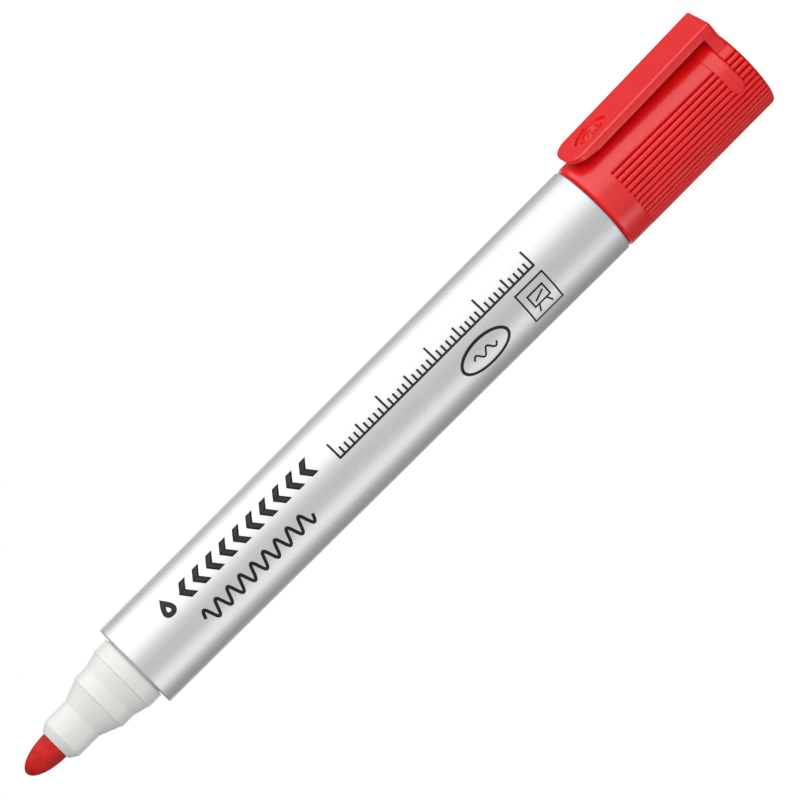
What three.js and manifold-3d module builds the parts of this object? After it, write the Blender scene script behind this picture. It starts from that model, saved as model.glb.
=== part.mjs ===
// Whiteboard marker with its cap posted on the rear end.
//
// Millimetres, +Z up. The marker stands on the flat closed end of its cap, nib up.
// The origin is the centre of that flat end, the marker's axis is +Z, and the
// pocket clip is on the -Y side, so the shape is the same left and right of X = 0.

import * as THREE from 'three';
import { mergeVertices } from 'three/addons/utils/BufferGeometryUtils.js';
import Module from 'manifold-3d';

const wasm = await Module();
wasm.setup();

// --- Driving dimensions ---------------------------------------------------

// Heights along the axis, from the cap's closed end
const NIB_TIP_Z = 148.7;
const NOSE_FRONT_Z = 142.8;
const BARREL_FRONT_Z = 126.5;
const CAP_MOUTH_Z = 30.9;
const TAIL_END_Z = 19.85;

// Cap, a tapered cup
const CAP_END_R = 7.56;
const CAP_MOUTH_R = 7.75;
const CAP_BORE_R = 6.35;
const CAP_END_WALL = 1.2;
const CAP_END_ROUND = 0.5;
const CAP_SEGMENTS = 100;
const GRIP_RIB_COUNT = 6;
const GRIP_RIB_R = 5.85;
const GRIP_RIB_WIDTH = 1.0;

// Finger grooves on the outside of the cap
const GROOVE_PITCH_DEG = 7.2;
const FIRST_GROOVE_DEG = 46.8;
const GROOVES_PER_SIDE = 19;
const GROOVE_WIDTH = 0.45;
const GROOVE_DEPTH = 0.3;
const GROOVE_TOP_Z = 26.2;

// Smooth raised band that crosses the grooves beside the clip's root
const BAND_LOW_Z = 2.6;
const BAND_HIGH_Z = 5.0;
const BAND_PROUD = 0.15;
const BAND_END_DEG = 84.8;

// Pocket clip
const CLIP_GAP = 0.3;
const CLIP_WIDTH = 7.0;
const CLIP_FOOT_WIDTH = 8.4;
const CLIP_THICKNESS = 1.6;
const CLIP_END_Z = 0.35;
const CLIP_ROOT_TOP_Z = 2.5;
const CLIP_TIP_Z = 29.7;
const CLIP_ROOT_R = 10.66;
const CLIP_TIP_R = 9.82;
const CLIP_TIP_EDGE = 0.6;
const CLIP_RAMP_Z = 25.3;
const CLIP_CORNER = 2.6;

// Inner cap, the sleeve that seals on the nose
const SEAL_BORE_R = 3.68;
const SEAL_OUTER_R = 4.45;
const SEAL_MOUTH_Z = 18.5;
const SEAL_FLOOR = 1.0;
const SEAL_FLANGE_R = 6.05;
const SEAL_FIN_COUNT = 6;
const SEAL_FIN_TOP_Z = 12.0;
const SEAL_FIN_WIDTH = 0.8;

// Barrel
const BARREL_FRONT_R = 7.34;
const BARREL_MID_R = 7.58;
const BARREL_MID_Z = 80.0;
const BARREL_REAR_R = 7.75;
const BARREL_BORE_R = 6.3;
const BARREL_STOP_Z = 33.0;
const TAIL_R = 5.75;
const TAIL_BORE_R = 4.85;
const SHOULDER_GAP = 0.1;

// Nose, outside radii from front to rear
const NOSE_RIM_R = 2.75;
const NOSE_STEP_1 = { r: 3.6, front: 141.4, rear: 137.3 };
const NOSE_STEP_2 = { r: 5.05, front: 134.1, rear: 131.65 };
const NOSE_COLLAR = { r: 5.79, front: 129.3, rear: 126.85 };
const NOSE_SEAM_R = 5.5;
const NOSE_SPIGOT_REAR_Z = 118.8;
const NOSE_WALL = 1.2;

// Nib and ink reservoir
const NIB_R = 2.35;
const NIB_REAR_Z = 111.7;
const CORE_R = 5.6;
const WRAP_INNER_R = 5.65;
const WRAP_OUTER_R = 5.85;
const RESERVOIR_LOW_Z = 33.4;
const RESERVOIR_HIGH_Z = 118.0;

// End plug
const PLUG_R = 4.8;
const PLUG_FLANGE_R = 5.5;
const PLUG_FLANGE = 0.4;
const PLUG_LENGTH = 6.0;

const FIT = 0.06; // radial clearance of pressed and sliding fits
const ROUND_STEPS = 48; // facets round the barrel and what is inside it
const SMALL_STEPS = 32; // facets round the nib and the seal

// --- Materials ------------------------------------------------------------

function plastic(color, roughness, metalness = 0) {
  return new THREE.MeshStandardMaterial({ color, roughness, metalness });
}

const redCapPlastic = plastic(0xe0292d, 0.35);
const silverLacquer = plastic(0xc9cbcd, 0.38, 0.45);
const whitePlastic = plastic(0xf4f4f2, 0.25);
const naturalPlastic = plastic(0xe9e7df, 0.45);
const redPlugPlastic = plastic(0xd8262a, 0.35);
const inkedFibre = plastic(0xd02220, 0.85);
const reservoirFibre = plastic(0xc4302c, 0.95);
const clearFilm = plastic(0xf1dede, 0.3);

// --- Solids from three.js geometry ----------------------------------------

// A body of revolution about +Z. The outline is [radius, z] points, taken so that
// the material is on the left of the way they run. Angle 0 is the clip's direction.
function turned(outline, segments) {
  const points = outline.map(([r, z]) => new THREE.Vector2(r, z));
  return new THREE.LatheGeometry(points, segments).rotateX(Math.PI / 2);
}

// A ring of revolution: its outline closes on itself.
function turnedRing(outline, segments) {
  return turned([...outline, outline[0]], segments);
}

function outlineShape(points) {
  return new THREE.Shape(points.map(([x, y]) => new THREE.Vector2(x, y)));
}

// Extrudes a shape by depth, centred, then turns its own X, Y and Z to the given directions.
function extruded(shape, depth, xTo, yTo) {
  const x = new THREE.Vector3(...xTo);
  const y = new THREE.Vector3(...yTo);
  const z = new THREE.Vector3().crossVectors(x, y);
  return new THREE.ExtrudeGeometry(shape, { depth, bevelEnabled: false, curveSegments: 8 })
    .translate(0, 0, -depth / 2)
    .applyMatrix4(new THREE.Matrix4().makeBasis(x, y, z));
}

function toSolid(geometry) {
  const bare = geometry.clone();
  bare.deleteAttribute('normal');
  bare.deleteAttribute('uv');
  const merged = mergeVertices(bare);
  const index = merged.index.array;
  const triangles = [];
  for (let i = 0; i < index.length; i += 3) {
    const [a, b, c] = [index[i], index[i + 1], index[i + 2]];
    if (a !== b && b !== c && c !== a) triangles.push(a, b, c);
  }
  return new wasm.Manifold(new wasm.Mesh({
    numProp: 3,
    vertProperties: new Float32Array(merged.attributes.position.array),
    triVerts: new Uint32Array(triangles),
  }));
}

function toGeometry(solid) {
  const { vertProperties, triVerts } = solid.getMesh();
  const geometry = new THREE.BufferGeometry();
  geometry.setAttribute('position', new THREE.BufferAttribute(vertProperties, 3));
  geometry.setIndex(new THREE.BufferAttribute(triVerts, 1));
  geometry.computeVertexNormals();
  return geometry;
}

// A box whose inner face is at a radius, standing out along the direction at an angle from the clip.
function radialBar(angleDeg, innerR, outerR, width, lowZ, highZ) {
  return new THREE.BoxGeometry(width, outerR - innerR, highZ - lowZ)
    .translate(0, -(innerR + outerR) / 2, (lowZ + highZ) / 2)
    .rotateZ(THREE.MathUtils.degToRad(angleDeg));
}

function capRadiusAt(z) {
  return THREE.MathUtils.lerp(CAP_END_R, CAP_MOUTH_R, z / CAP_MOUTH_Z);
}

// --- Cap ------------------------------------------------------------------

function capCup() {
  const mouthRound = 0.3;
  const outline = [
    [0, 0],
    [CAP_END_R - CAP_END_ROUND, 0],
    [CAP_END_R - 0.3 * CAP_END_ROUND, 0.3 * CAP_END_ROUND],
    [capRadiusAt(CAP_END_ROUND), CAP_END_ROUND],
    [capRadiusAt(CAP_MOUTH_Z - mouthRound), CAP_MOUTH_Z - mouthRound],
    [CAP_MOUTH_R - mouthRound, CAP_MOUTH_Z],
    [CAP_BORE_R, CAP_MOUTH_Z],
    [CAP_BORE_R, CAP_END_WALL],
    [0, CAP_END_WALL],
  ];
  return toSolid(turned(outline, CAP_SEGMENTS));
}

function capGrooves() {
  const floorR = CAP_END_R - GROOVE_DEPTH;
  const grooves = [];
  for (let k = 0; k < GROOVES_PER_SIDE; k += 1) {
    for (const side of [-1, 1]) {
      const angle = side * (FIRST_GROOVE_DEG + k * GROOVE_PITCH_DEG);
      const cutter = radialBar(angle, floorR, CAP_MOUTH_R + 1, GROOVE_WIDTH, -1, GROOVE_TOP_Z);
      grooves.push(toSolid(cutter));
    }
  }
  return grooves;
}

// The smooth band: a shallow ring, kept only on the clip's side.
function capBand() {
  const outerR = capRadiusAt(BAND_LOW_Z) + BAND_PROUD;
  const innerR = CAP_END_R - 2 * GROOVE_DEPTH;
  const ring = toSolid(turnedRing([
    [innerR, BAND_LOW_Z],
    [outerR, BAND_LOW_Z],
    [outerR, BAND_HIGH_Z],
    [innerR, BAND_HIGH_Z],
  ], CAP_SEGMENTS));
  const endY = -outerR * Math.cos(THREE.MathUtils.degToRad(BAND_END_DEG));
  const reach = 2 * CAP_MOUTH_R;
  const clipSide = new THREE.BoxGeometry(2 * reach, reach, 2 * reach).translate(0, endY - reach / 2, 0);
  return ring.intersect(toSolid(clipSide));
}

// Ribs inside the mouth grip the tail of the barrel or the collar of the nose.
function capGripRibs() {
  const ribs = [];
  for (let k = 0; k < GRIP_RIB_COUNT; k += 1) {
    const angle = (k + 0.5) * (360 / GRIP_RIB_COUNT);
    const outerR = CAP_BORE_R + 0.2;
    ribs.push(toSolid(
      radialBar(angle, GRIP_RIB_R, outerR, GRIP_RIB_WIDTH, TAIL_END_Z, CAP_MOUTH_Z - 0.8),
    ));
  }
  return ribs;
}

function cap() {
  let solid = capCup();
  for (const groove of capGrooves()) solid = solid.subtract(groove);
  solid = solid.add(capBand());
  for (const rib of capGripRibs()) solid = solid.add(rib);
  return toGeometry(solid);
}

// --- Clip -----------------------------------------------------------------

// The arm seen from the side, as [height, radius] points.
function clipArm() {
  const slope = (CLIP_ROOT_R - CLIP_TIP_R) / (CLIP_TIP_Z - CLIP_END_Z);
  const outerAt = (z) => CLIP_ROOT_R - slope * (z - CLIP_END_Z);
  const edge = 0.25;
  const side = outlineShape([
    [CLIP_END_Z, CLIP_ROOT_R - CLIP_THICKNESS],
    [CLIP_RAMP_Z, outerAt(CLIP_RAMP_Z) - CLIP_THICKNESS],
    [CLIP_TIP_Z, outerAt(CLIP_TIP_Z) - CLIP_TIP_EDGE],
    [CLIP_TIP_Z, outerAt(CLIP_TIP_Z) - edge],
    [CLIP_TIP_Z - edge, outerAt(CLIP_TIP_Z - edge)],
    [CLIP_END_Z + edge, outerAt(CLIP_END_Z + edge)],
    [CLIP_END_Z, CLIP_ROOT_R - edge],
  ]);
  return toSolid(extruded(side, CLIP_WIDTH, [0, 0, 1], [0, -1, 0]));
}

// The arm seen from outside: straight sides and a rounded tip.
function clipPlan() {
  const half = CLIP_WIDTH / 2;
  const shoulder = CLIP_TIP_Z - CLIP_CORNER;
  const inset = half - CLIP_CORNER;
  const shape = new THREE.Shape();
  shape.moveTo(-half, 0);
  shape.lineTo(half, 0);
  shape.lineTo(half, shoulder);
  shape.absarc(inset, shoulder, CLIP_CORNER, 0, Math.PI / 2);
  shape.lineTo(-inset, CLIP_TIP_Z);
  shape.absarc(-inset, shoulder, CLIP_CORNER, Math.PI / 2, Math.PI);
  return toSolid(extruded(shape, 4 * CLIP_ROOT_R, [1, 0, 0], [0, 0, 1]));
}

// The block that carries the arm, wider where it meets the cap's wall.
function clipRoot() {
  const underside = CLIP_ROOT_R - CLIP_THICKNESS;
  const topR = CLIP_ROOT_R - 0.5;
  const end = outlineShape([
    [-CLIP_FOOT_WIDTH / 2, -CAP_BORE_R],
    [-CLIP_WIDTH / 2, -underside],
    [-CLIP_WIDTH / 2, -topR],
    [CLIP_WIDTH / 2, -topR],
    [CLIP_WIDTH / 2, -underside],
    [CLIP_FOOT_WIDTH / 2, -CAP_BORE_R],
  ]);
  const depth = CLIP_ROOT_TOP_Z - CLIP_END_Z;
  const block = extruded(end, depth, [1, 0, 0], [0, 1, 0]);
  return toSolid(block.translate(0, 0, CLIP_END_Z + depth / 2));
}

function clip() {
  const clearance = toSolid(turned([
    [0, -1],
    [CAP_END_R + CLIP_GAP, -1],
    [CAP_END_R + CLIP_GAP, CLIP_ROOT_TOP_Z + 1],
    [0, CLIP_ROOT_TOP_Z + 1],
  ], CAP_SEGMENTS));
  const whole = clipArm().intersect(clipPlan()).add(clipRoot());
  return toGeometry(whole.subtract(clearance));
}

// --- Inner cap ------------------------------------------------------------

function innerCap() {
  const baseZ = CAP_END_WALL + CLIP_GAP;
  const floorZ = baseZ + SEAL_FLOOR;
  let solid = toSolid(turned([
    [0, baseZ],
    [SEAL_FLANGE_R, baseZ],
    [SEAL_FLANGE_R, floorZ],
    [SEAL_OUTER_R, floorZ],
    [SEAL_OUTER_R, SEAL_MOUTH_Z],
    [SEAL_BORE_R + 0.25, SEAL_MOUTH_Z],
    [SEAL_BORE_R, SEAL_MOUTH_Z - 0.6],
    [SEAL_BORE_R, floorZ],
    [0, floorZ],
  ], SMALL_STEPS));
  for (let k = 0; k < SEAL_FIN_COUNT; k += 1) {
    const angle = k * (360 / SEAL_FIN_COUNT);
    const innerR = SEAL_OUTER_R - 0.3;
    const fin = radialBar(
      angle, innerR, SEAL_FLANGE_R - 0.1, SEAL_FIN_WIDTH, floorZ - 0.3, SEAL_FIN_TOP_Z,
    );
    solid = solid.add(toSolid(fin));
  }
  return toGeometry(solid);
}

// --- Barrel ---------------------------------------------------------------

function barrel() {
  const shoulderZ = CAP_MOUTH_Z + SHOULDER_GAP;
  const edge = 0.2;
  return turnedRing([
    [TAIL_BORE_R, TAIL_END_Z],
    [TAIL_R - edge, TAIL_END_Z],
    [TAIL_R, TAIL_END_Z + edge],
    [TAIL_R, shoulderZ],
    [BARREL_REAR_R - edge, shoulderZ],
    [BARREL_REAR_R, shoulderZ + edge],
    [BARREL_MID_R, BARREL_MID_Z],
    [BARREL_FRONT_R, BARREL_FRONT_Z - edge],
    [BARREL_FRONT_R - edge, BARREL_FRONT_Z],
    [BARREL_BORE_R, BARREL_FRONT_Z],
    [BARREL_BORE_R, BARREL_STOP_Z],
    [TAIL_BORE_R, BARREL_STOP_Z],
  ], ROUND_STEPS);
}

// --- Nose -----------------------------------------------------------------

function nose() {
  const boreR = NIB_R + FIT;
  const spigotR = BARREL_BORE_R - FIT;
  const cavityR = spigotR - NOSE_WALL;
  const cavityFrontZ = NOSE_COLLAR.rear - NOSE_WALL;
  return turnedRing([
    [cavityR, NOSE_SPIGOT_REAR_Z],
    [spigotR, NOSE_SPIGOT_REAR_Z],
    [spigotR, BARREL_FRONT_Z],
    [NOSE_SEAM_R, BARREL_FRONT_Z],
    [NOSE_SEAM_R, NOSE_COLLAR.rear],
    [NOSE_COLLAR.r, NOSE_COLLAR.rear],
    [NOSE_COLLAR.r, NOSE_COLLAR.front],
    [NOSE_STEP_2.r, NOSE_STEP_2.rear],
    [NOSE_STEP_2.r, NOSE_STEP_2.front],
    [NOSE_STEP_1.r, NOSE_STEP_1.rear],
    [NOSE_STEP_1.r, NOSE_STEP_1.front],
    [NOSE_RIM_R, NOSE_FRONT_Z],
    [boreR, NOSE_FRONT_Z],
    [boreR, cavityFrontZ],
    [cavityR, cavityFrontZ],
  ], ROUND_STEPS);
}

// --- Nib and reservoir ----------------------------------------------------

// A rod with a bullet front, half an ellipse.
function nib() {
  const headLength = NIB_TIP_Z - NOSE_FRONT_Z;
  const steps = 10;
  const edge = 0.3;
  const outline = [[0, NIB_REAR_Z], [NIB_R - edge, NIB_REAR_Z], [NIB_R, NIB_REAR_Z + edge]];
  for (let k = 0; k < steps; k += 1) {
    const turn = (k / steps) * (Math.PI / 2);
    outline.push([NIB_R * Math.cos(turn), NOSE_FRONT_Z + headLength * Math.sin(turn)]);
  }
  outline.push([0, NIB_TIP_Z]);
  return turned(outline, SMALL_STEPS);
}

function reservoirCore() {
  const socketR = NIB_R + FIT;
  const socketZ = NIB_REAR_Z - 0.3;
  return turned([
    [0, RESERVOIR_LOW_Z],
    [CORE_R, RESERVOIR_LOW_Z],
    [CORE_R, RESERVOIR_HIGH_Z],
    [socketR, RESERVOIR_HIGH_Z],
    [socketR, socketZ],
    [0, socketZ],
  ], SMALL_STEPS);
}

function reservoirWrap() {
  return turnedRing([
    [WRAP_INNER_R, RESERVOIR_LOW_Z],
    [WRAP_OUTER_R, RESERVOIR_LOW_Z],
    [WRAP_OUTER_R, RESERVOIR_HIGH_Z],
    [WRAP_INNER_R, RESERVOIR_HIGH_Z],
  ], SMALL_STEPS);
}

// --- End plug -------------------------------------------------------------

function endPlug() {
  const flangeTopZ = TAIL_END_Z - CLIP_GAP;
  const lowZ = flangeTopZ - PLUG_FLANGE;
  return turned([
    [0, lowZ],
    [PLUG_FLANGE_R, lowZ],
    [PLUG_FLANGE_R, flangeTopZ],
    [PLUG_R, flangeTopZ],
    [PLUG_R, lowZ + PLUG_LENGTH - 0.5],
    [PLUG_R - 0.4, lowZ + PLUG_LENGTH],
    [0, lowZ + PLUG_LENGTH],
  ], SMALL_STEPS);
}

// --- Assembly -------------------------------------------------------------

function part(name, geometry, material) {
  const mesh = new THREE.Mesh(geometry, material);
  mesh.name = name;
  return mesh;
}

const marker = new THREE.Group();
marker.add(
  part('cap', cap(), redCapPlastic),
  part('clip', clip(), redCapPlastic),
  part('inner_cap', innerCap(), naturalPlastic),
  part('barrel', barrel(), silverLacquer),
  part('nose', nose(), whitePlastic),
  part('nib', nib(), inkedFibre),
  part('reservoir_core', reservoirCore(), reservoirFibre),
  part('reservoir_wrap', reservoirWrap(), clearFilm),
  part('end_plug', endPlug(), redPlugPlastic),
);

export default marker;
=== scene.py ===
# A whiteboard marker with its red cap posted on the rear end, standing on the cap's flat
# closed end, nib up. Every size in a section is in millimetres and every angle in degrees.

import math

import bpy
import numpy as np
from mathutils import Matrix, Vector


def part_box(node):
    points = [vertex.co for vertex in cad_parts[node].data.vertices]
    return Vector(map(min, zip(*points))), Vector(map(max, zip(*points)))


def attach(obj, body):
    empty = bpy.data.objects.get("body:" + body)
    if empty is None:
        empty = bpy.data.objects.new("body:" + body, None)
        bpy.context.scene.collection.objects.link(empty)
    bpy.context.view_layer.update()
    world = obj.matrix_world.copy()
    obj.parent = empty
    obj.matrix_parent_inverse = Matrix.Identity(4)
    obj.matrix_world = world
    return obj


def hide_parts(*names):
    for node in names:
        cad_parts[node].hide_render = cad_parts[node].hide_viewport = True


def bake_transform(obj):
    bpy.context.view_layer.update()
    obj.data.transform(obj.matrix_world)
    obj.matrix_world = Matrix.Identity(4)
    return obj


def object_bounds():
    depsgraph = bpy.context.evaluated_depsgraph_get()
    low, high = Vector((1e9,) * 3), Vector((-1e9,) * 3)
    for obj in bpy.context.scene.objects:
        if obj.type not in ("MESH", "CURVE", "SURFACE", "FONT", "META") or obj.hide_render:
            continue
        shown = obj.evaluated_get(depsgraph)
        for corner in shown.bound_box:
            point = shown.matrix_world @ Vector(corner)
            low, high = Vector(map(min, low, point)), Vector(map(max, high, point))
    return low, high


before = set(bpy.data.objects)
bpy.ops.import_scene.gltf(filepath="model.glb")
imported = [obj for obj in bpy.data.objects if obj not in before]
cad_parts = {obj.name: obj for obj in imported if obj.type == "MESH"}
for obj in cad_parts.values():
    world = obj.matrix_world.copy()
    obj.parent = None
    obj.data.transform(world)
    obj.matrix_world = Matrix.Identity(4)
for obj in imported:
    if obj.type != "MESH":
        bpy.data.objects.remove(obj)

cad_low, cad_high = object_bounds()


# --- Camera ------------------------------------------------------------------------------
# A long lens on the clip's left, level with the nose and tipped a little down towards the
# cap. It is rolled so that the marker lies from lower left, nib, to upper right, cap.

MM = 0.001
LENS = 217.7
VIEW_DISTANCE = 711.0
VIEW_SIDE = 60.0
LEVEL_BELOW_TIP = 17.2
TIP_DOWN = 4.845
ROLL = 44.88
AXIS_SHIFT = 0.19


def around(angle, distance=1.0, height=0.0):
    """The point at an angle about the marker's axis, from the clip's side towards its left, in mm."""
    a = math.radians(angle)
    return Vector((-math.sin(a) * distance, -math.cos(a) * distance, height)) * MM


camera_data = bpy.data.cameras.new("long_lens")
camera_data.lens = LENS
camera_data.sensor_width = 36.0
camera_data.clip_start = 0.05
camera_data.clip_end = 30.0
camera = bpy.data.objects.new("camera", camera_data)
bpy.context.scene.collection.objects.link(camera)
bpy.context.scene.camera = camera

side_on = around(VIEW_SIDE, 1 / MM)
to_clip_side = around(VIEW_SIDE - 90, 1 / MM)
tip = math.radians(TIP_DOWN)
camera_back = side_on * math.cos(tip) + Vector((0, 0, math.sin(tip)))
to_cap_end = camera_back.cross(to_clip_side) * -1
roll = math.radians(ROLL)
camera_right = to_cap_end * math.cos(roll) - to_clip_side * math.sin(roll)
camera_up = camera_back.cross(camera_right)
eye_height = cad_high.z - LEVEL_BELOW_TIP * MM
eye = side_on * VIEW_DISTANCE * MM + to_clip_side * AXIS_SHIFT * MM + Vector((0, 0, eye_height))
turn = Matrix((camera_right, camera_up, camera_back)).transposed().to_4x4()
camera.matrix_world = Matrix.Translation(eye) @ turn


# --- Floor and light ---------------------------------------------------------------------
# A pale matt table top under soft light: a broad softbox on the clip's side, dimmer ones in
# front, at the far side and behind, and a dim even surround.

FLOOR_RADIUS = 6000.0
FLOOR_CORNERS = 96
FLOOR_DROP = 0.02
SOFTBOX_HEIGHT = 100.0


def linear(hex_colour, alpha=1.0):
    """An sRGB hex colour as linear red, green, blue and alpha."""
    parts = [int(hex_colour[i:i + 2], 16) / 255 for i in (1, 3, 5)]
    return tuple(p / 12.92 if p <= 0.04045 else ((p + 0.055) / 1.055) ** 2.4 for p in parts) + (alpha,)


def node(tree, kind, inputs=None, **settings):
    """Adds a node with its settings. An input is a value, or another node's socket to link."""
    made = tree.nodes.new(kind)
    for name, value in settings.items():
        setattr(made, name, value)
    for name, value in (inputs or {}).items():
        if isinstance(value, bpy.types.NodeSocket):
            tree.links.new(value, made.inputs[name])
        else:
            made.inputs[name].default_value = value
    return made


def new_material(name):
    """An empty material, with the tree that its nodes go in."""
    material = bpy.data.materials.new(name)
    material.use_nodes = True
    material.node_tree.nodes.clear()
    return material, material.node_tree


def mesh_object(name, points, faces):
    """An object of points in millimetres, smooth shaded, linked to the scene."""
    mesh = bpy.data.meshes.new(name)
    mesh.from_pydata([tuple(MM * c for c in p) for p in points], [], faces)
    mesh.shade_smooth()
    made = bpy.data.objects.new(name, mesh)
    bpy.context.scene.collection.objects.link(made)
    return made


def pale_table_top():
    """Pale laminate: near white and matt, with a hardly visible mottle."""
    material, tree = new_material("pale_table_top")
    place = node(tree, "ShaderNodeTexCoord")
    mottle = node(tree, "ShaderNodeTexNoise", {"Vector": place.outputs["Object"], "Scale": 14.0})
    tone = node(tree, "ShaderNodeValToRGB", {"Fac": mottle.outputs["Fac"]})
    tone.color_ramp.elements[0].color = linear("#F6F6F5")
    tone.color_ramp.elements[1].color = linear("#FAFAFA")
    surface = node(tree, "ShaderNodeBsdfPrincipled", {
        "Base Color": tone.outputs["Color"],
        "Roughness": 0.85,
        "Specular IOR Level": 0.15,
        "Emission Color": linear("#FFFFFF"),
        "Emission Strength": 0.9,
    })
    node(tree, "ShaderNodeOutputMaterial", {"Surface": surface.outputs["BSDF"]})
    return material


def floor_disc():
    """The table top: one flat disc, a hair below the cap's closed end."""
    ring = [around(k * 360 / FLOOR_CORNERS, FLOOR_RADIUS, -FLOOR_DROP) / MM for k in range(FLOOR_CORNERS)]
    made = mesh_object("floor", ring, [list(range(FLOOR_CORNERS))[::-1]])
    made.data.materials.append(pale_table_top())
    return made


def softbox(name, angle, distance, width, tall, power, glossy=True, diffuse=True):
    """An area light at an angle about the marker, facing its axis. Without glossy it shows in no
    highlight, and without diffuse it shows in highlights only."""
    data = bpy.data.lights.new(name, "AREA")
    data.shape = "RECTANGLE"
    data.size = width * MM
    data.size_y = tall * MM
    data.energy = power
    light = bpy.data.objects.new(name, data)
    bpy.context.scene.collection.objects.link(light)
    light.location = around(angle, distance, SOFTBOX_HEIGHT)
    aim = Vector((0, 0, SOFTBOX_HEIGHT * MM)) - light.location
    light.rotation_mode = "QUATERNION"
    light.rotation_quaternion = aim.to_track_quat("-Z", "Z")
    light.visible_camera = False
    light.visible_glossy = glossy
    light.visible_diffuse = diffuse


floor = floor_disc()
floor.visible_glossy = False
floor.visible_diffuse = False
floor.visible_shadow = False

softbox("key_softbox", VIEW_SIDE - 60, 620, 1400, 600, 5.6)
softbox("front_softbox", VIEW_SIDE + 18, 800, 900, 800, 0.9)
softbox("side_softbox", VIEW_SIDE + 72, 700, 430, 450, 1.3)
softbox("wash_softbox", VIEW_SIDE + 10, 700, 700, 700, 1.1, glossy=False)
softbox("rear_softbox", VIEW_SIDE + 180, 700, 500, 700, 1.2, diffuse=False)

world = bpy.data.worlds.new("pale_surround")
bpy.context.scene.world = world
world.use_nodes = True
world.node_tree.nodes.clear()
ray = node(world.node_tree, "ShaderNodeLightPath")
surround = node(world.node_tree, "ShaderNodeBackground", {"Color": linear("#FFFFFF"), "Strength": 0.18})
backdrop = node(world.node_tree, "ShaderNodeBackground", {"Color": linear("#FFFFFF"), "Strength": 1.0})
either = node(world.node_tree, "ShaderNodeMixShader", {
    0: ray.outputs["Is Camera Ray"], 1: surround.outputs[0], 2: backdrop.outputs[0]})
node(world.node_tree, "ShaderNodeOutputWorld", {"Surface": either.outputs[0]})
bpy.context.scene.view_settings.view_transform = "Standard"


# --- Reservoir core ----------------------------------------------------------------------
# The ink store: a rod of crimped polyester fibres laid lengthways and bonded by heat, soaked
# in red ink. Its front end has the socket that the nib's rear end is pushed into.

CORE_STEPS = 96
SOCKET_FIT = 0.06
SOCKET_SPARE = 0.3


def rounded(corners, closed):
    """An outline with its corners rounded: each is (radius from the axis, height, rounding)."""
    count = len(corners)
    outline = []
    for i, (r, z, rounding) in enumerate(corners):
        here = Vector((r, z))
        if rounding == 0 or (not closed and i in (0, count - 1)):
            outline.append((r, z))
            continue
        before = (Vector(corners[i - 1][:2]) - here).normalized()
        after = (Vector(corners[(i + 1) % count][:2]) - here).normalized()
        half = math.acos(max(-1.0, min(1.0, before.dot(after)))) / 2
        centre = here + (before + after).normalized() * rounding / math.sin(half)
        first = here + before * rounding / math.tan(half) - centre
        last = here + after * rounding / math.tan(half) - centre
        sweep = first.angle_signed(last)
        steps = max(2, round(abs(sweep) / math.radians(18)))
        for k in range(steps + 1):
            a = -sweep * k / steps
            outline.append((
                centre.x + first.x * math.cos(a) - first.y * math.sin(a),
                centre.y + first.x * math.sin(a) + first.y * math.cos(a),
            ))
    return outline


def turned(name, corners, steps, closed=False):
    """A body of revolution. A closed outline makes a ring; an open one runs from axis to axis."""
    outline = rounded(corners, closed)
    points, rows = [], []
    for r, z in outline:
        if r < 1e-6:
            rows.append([len(points)] * steps)
            points.append((0, 0, z))
        else:
            rows.append(list(range(len(points), len(points) + steps)))
            points += [around(k * 360 / steps, r, z) / MM for k in range(steps)]
    faces = []
    pairs = list(zip(rows, rows[1:])) + ([(rows[-1], rows[0])] if closed else [])
    for low, high in pairs:
        for k in range(steps):
            n = (k + 1) % steps
            loop = [low[n], low[k], high[k], high[n]]
            faces.append([v for i, v in enumerate(loop) if v != loop[i - 1]])
    made = mesh_object(name, points, faces)
    weighted = made.modifiers.new("even_shading", "WEIGHTED_NORMAL")
    weighted.keep_sharp = True
    return made


def inked_fibre(name, dark, light, strand_mm, roughness):
    """Bonded lengthways fibre, wet with ink: streaks along the axis and a rough, dull surface."""
    material, tree = new_material(name)
    place = node(tree, "ShaderNodeTexCoord")
    lengthways = node(tree, "ShaderNodeMapping", {
        "Vector": place.outputs["Object"], "Scale": (1.0, 1.0, 0.06)})
    strands = node(tree, "ShaderNodeTexNoise", {
        "Vector": lengthways.outputs[0], "Scale": 1 / (strand_mm * MM), "Detail": 4.0, "Roughness": 0.6})
    soak = node(tree, "ShaderNodeTexNoise", {
        "Vector": place.outputs["Object"], "Scale": 1 / (1.6 * MM), "Detail": 3.0})
    mixed = node(tree, "ShaderNodeMath", {
        0: strands.outputs["Fac"], 1: soak.outputs["Fac"]}, operation="MULTIPLY_ADD")
    mixed.inputs[2].default_value = 0.12
    tone = node(tree, "ShaderNodeValToRGB", {"Fac": mixed.outputs[0]})
    tone.color_ramp.elements[0].position = 0.2
    tone.color_ramp.elements[0].color = linear(dark)
    tone.color_ramp.elements[1].position = 0.6
    tone.color_ramp.elements[1].color = linear(light)
    ridges = node(tree, "ShaderNodeBump", {
        "Height": strands.outputs["Fac"], "Strength": 0.55, "Distance": 0.12 * MM})
    surface = node(tree, "ShaderNodeBsdfPrincipled", {
        "Base Color": tone.outputs["Color"],
        "Normal": ridges.outputs["Normal"],
        "Roughness": roughness,
        "IOR": 1.54,
        "Specular IOR Level": 0.3,
    })
    node(tree, "ShaderNodeOutputMaterial", {"Surface": surface.outputs["BSDF"]})
    return material


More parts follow.
